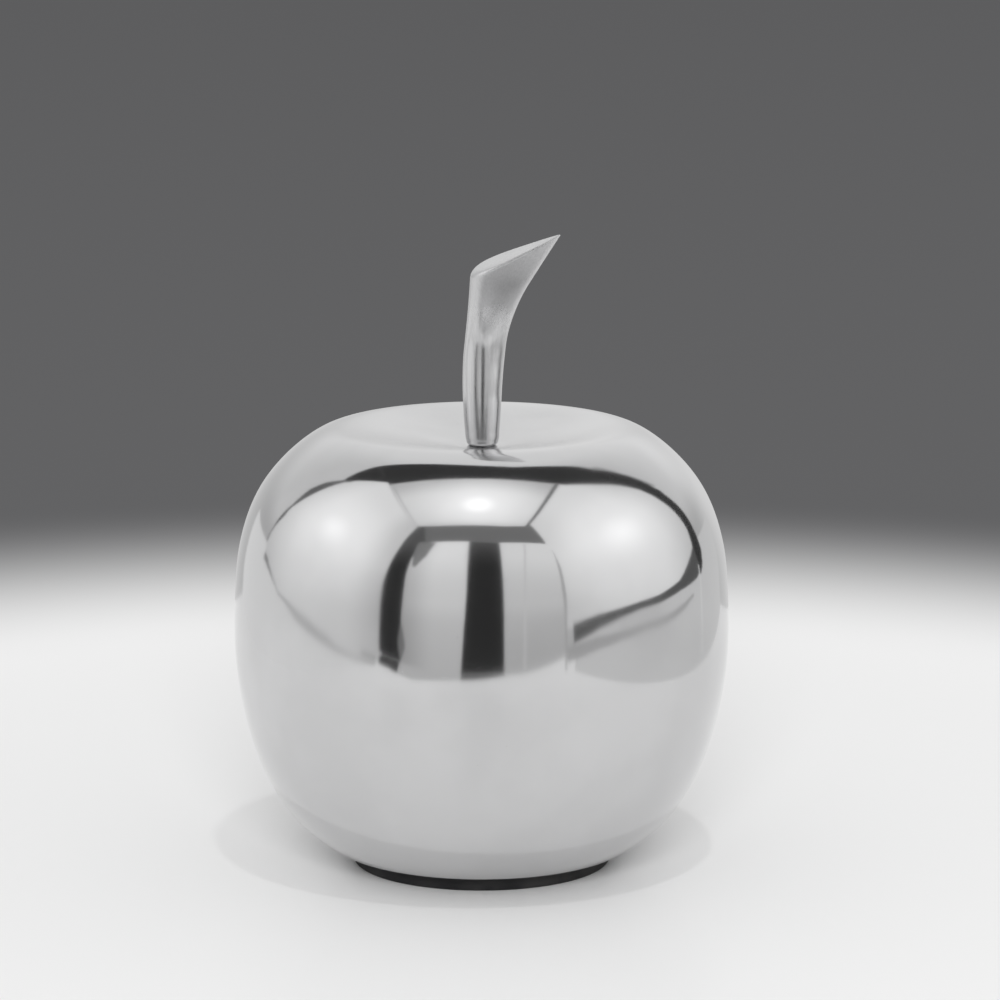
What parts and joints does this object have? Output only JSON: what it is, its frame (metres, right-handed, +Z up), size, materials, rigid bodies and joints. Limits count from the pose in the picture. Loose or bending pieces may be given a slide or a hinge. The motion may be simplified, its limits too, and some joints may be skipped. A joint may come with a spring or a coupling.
{
  "type": "apple ornament",
  "caption": "Hollow apple ornament of polished cast aluminium, with a leaning, obliquely cut stem, standing on a flat black pad.",
  "frame": {"origin": "centre of the pad's underside, on the body's axis, where the ornament stands", "axes": "+Z up along the body's axis, +X the side that the stem leans to most, -Y the side that the picture shows"},
  "size_m": [0.14, 0.14, 0.1816],
  "materials": {
    "polished_aluminium": "mirror-polished casting with fine hand-polishing scratches",
    "satin_aluminium": "polished lengthways, softer than the body",
    "black_pad": "matt black pad"
  },
  "bodies": {
    "root": {"body": "polished_aluminium", "stem": "satin_aluminium", "base_pad": "black_pad"}
  },
  "joints": []
}
